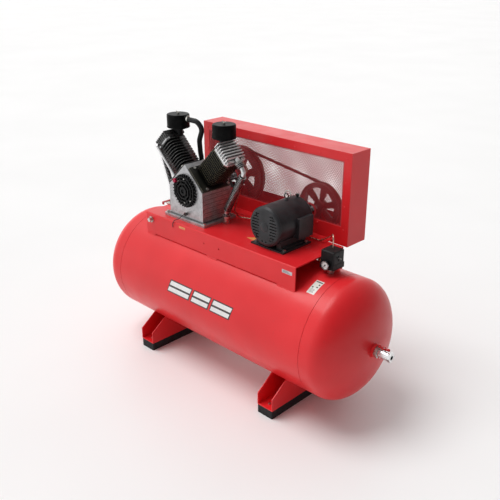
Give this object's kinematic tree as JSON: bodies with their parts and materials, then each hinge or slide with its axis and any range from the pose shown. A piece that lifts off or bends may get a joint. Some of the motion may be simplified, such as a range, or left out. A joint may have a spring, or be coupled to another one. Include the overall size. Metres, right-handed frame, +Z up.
{
  "type": "horizontal tank air compressor",
  "caption": "Stationary air compressor: belt-driven V-twin piston pump and motor on a platform over a horizontal receiver, with belt guard, switch and outlet valve.",
  "frame": {"origin": "on the floor, at the centre of the four anchor holes in the feet", "axes": "+X along the tank towards the outlet valve, +Y across the tank towards the belt guard, +Z up"},
  "size_m": [1.854, 0.6616, 1.333],
  "materials": {
    "red_paint": "glossy red enamel",
    "guard_mesh": "red perforated sheet",
    "pad_rubber": "moulded black rubber",
    "zinc_steel": "zinc-plated steel",
    "fitting_brass": "turned brass",
    "valve_chrome": "plated brass",
    "lever_red": "dipped red handle",
    "case_grey": "satin grey casting",
    "cover_black": "black enamelled casting",
    "bearing_steel": "ground bearing steel",
    "forged_steel": "machined forging",
    "rod_alloy": "die-cast alloy",
    "cylinder_black": "black finned casting",
    "valve_plate": "plain steel plate",
    "head_grey": "dull grey casting",
    "head_bright": "bright casting",
    "neck_black": "black painted elbow",
    "can_black": "black painted steel can",
    "filter_felt": "pleated filter media",
    "hose_rubber": "smooth black hose",
    "tube_alloy": "finned alloy tube",
    "tube_copper": "bright copper tube",
    "cap_red": "moulded red cap",
    "lead_black": "insulated lead",
    "wheel_dark": "dark cast wheel",
    "belt_rubber": "V-belt rubber",
    "motor_black": "semi-gloss black paint",
    "stator_core": "laminations and windings",
    "button_black": "moulded black button",
    "switch_black": "moulded black cover",
    "switch_grey": "moulded grey lever",
    "gauge_black": "black gauge case",
    "needle_black": "black pointer"
  },
  "bodies": {
    "chassis": {"tank_shell": "red_paint", "tank_head_left": "red_paint", "tank_head_right": "red_paint", "foot_left": "red_paint", "foot_right": "red_paint", "foot_pads": "pad_rubber", "platform": "red_paint", "pipe_fittings": "zinc_steel", "frame_bolts": "zinc_steel", "drain_valve": "fitting_brass", "ball_valve_body": "valve_chrome", "crankcase": "case_grey", "bearing_cover": "cover_black", "rear_housing": "case_grey", "ball_bearings": "bearing_steel", "cylinder_left": "cylinder_black", "cylinder_right": "cylinder_black", "valve_plates": "valve_plate", "cylinder_head_left": "head_grey", "cylinder_head_right": "head_bright", "pump_fasteners": "zinc_steel", "intake_necks": "neck_black", "filter_can_left": "can_black", "filter_can_right": "can_black", "filter_elements": "filter_felt", "breather_hose": "hose_rubber", "delivery_tube_left": "tube_alloy", "delivery_tube_right": "tube_alloy", "small_pipes": "tube_copper", "oil_filler_cap": "cap_red", "sensor_lead": "lead_black", "drive_belt": "belt_rubber", "motor_frame": "motor_black", "motor_front_bell": "motor_black", "motor_rear_bell": "motor_black", "motor_stator": "stator_core", "motor_base": "motor_black", "conduit_box": "motor_black", "guard_shroud": "red_paint", "guard_panels": "guard_mesh", "switch_box": "switch_black", "gauge_case": "gauge_black", "safety_valve": "fitting_brass"},
    "crank": {"crankshaft": "forged_steel", "flywheel": "wheel_dark"},
    "rod_left": {"rod_left": "rod_alloy"},
    "rod_right": {"rod_right": "rod_alloy"},
    "piston_left": {"piston_left": "rod_alloy"},
    "piston_right": {"piston_right": "rod_alloy"},
    "motor_drive": {"motor_rotor": "forged_steel", "motor_pulley": "wheel_dark"},
    "valve_handle": {"ball_valve_ball": "valve_chrome", "ball_valve_lever": "lever_red"},
    "drain_key": {"drain_key": "fitting_brass"},
    "oil_drain_lever": {"oil_drain_lever": "lever_red"},
    "switch_lever": {"switch_lever": "switch_grey"},
    "gauge_needle": {"gauge_needle": "needle_black"},
    "safety_ring": {"safety_ring": "bearing_steel"},
    "reset_button": {"reset_button": "button_black"}
  },
  "joints": [
    {"name": "crank_spin", "type": "hinge", "parent": "chassis", "child": "crank", "pos_m": [-0.287, 0, 0.954], "axis": [0, 1, 0], "continuous": true},
    {"name": "rod_left_swing", "type": "hinge", "parent": "crank", "child": "rod_left", "pos_m": [-0.287, -0.028, 0.974], "axis": [0, 1, 0], "continuous": true},
    {"name": "rod_right_swing", "type": "hinge", "parent": "crank", "child": "rod_right", "pos_m": [-0.287, -0.003, 0.974], "axis": [0, 1, 0], "continuous": true},
    {"name": "piston_left_slide", "type": "slide", "parent": "chassis", "child": "piston_left", "axis": [-0.7071, 0, 0.7071], "range_m": [-0.0341, 0.0058]},
    {"name": "piston_right_slide", "type": "slide", "parent": "chassis", "child": "piston_right", "axis": [0.7071, 0, 0.7071], "range_m": [-0.0341, 0.0058]},
    {"name": "motor_spin", "type": "hinge", "parent": "chassis", "child": "motor_drive", "pos_m": [0.29, 0, 0.904], "axis": [0, 1, 0], "continuous": true},
    {"name": "valve_handle_turn", "type": "hinge", "parent": "chassis", "child": "valve_handle", "pos_m": [0.925, 0, 0.4162], "axis": [0, 0, 1], "range_deg": [0, 90]},
    {"name": "drain_key_turn", "type": "hinge", "parent": "chassis", "child": "drain_key", "pos_m": [0, 0, 0.07], "axis": [0, 0, 1], "range_deg": [0, 180]},
    {"name": "oil_drain_turn", "type": "hinge", "parent": "chassis", "child": "oil_drain_lever", "pos_m": [-0.47, -0.08, 0.8311], "axis": [0, 0, 1], "range_deg": [-90, 0]},
    {"name": "switch_lever_turn", "type": "hinge", "parent": "chassis", "child": "switch_lever", "pos_m": [0.63, 0.005, 0.808], "axis": [0, 1, 0], "range_deg": [-15, 15]},
    {"name": "gauge_needle_turn", "type": "hinge", "parent": "chassis", "child": "gauge_needle", "pos_m": [0.6, -0.049, 0.776], "axis": [0, 1, 0], "range_deg": [0, 270]},
    {"name": "safety_ring_pull", "type": "slide", "parent": "chassis", "child": "safety_ring", "axis": [-1, 0, 0], "range_m": [0, 0.004], "stiffness_N_per_m": 800, "springref_m": -0.002},
    {"name": "reset_button_push", "type": "slide", "parent": "chassis", "child": "reset_button", "axis": [0, 0, -1], "range_m": [0, 0.004], "stiffness_N_per_m": 600, "springref_m": -0.002}
  ],
  "couplings": [
    {"joint": "rod_left_swing", "follows": "crank_spin", "ratio": -1},
    {"joint": "rod_right_swing", "follows": "crank_spin", "ratio": -1},
    {"joint": "motor_spin", "follows": "crank_spin", "ratio": 1.2867}
  ]
}
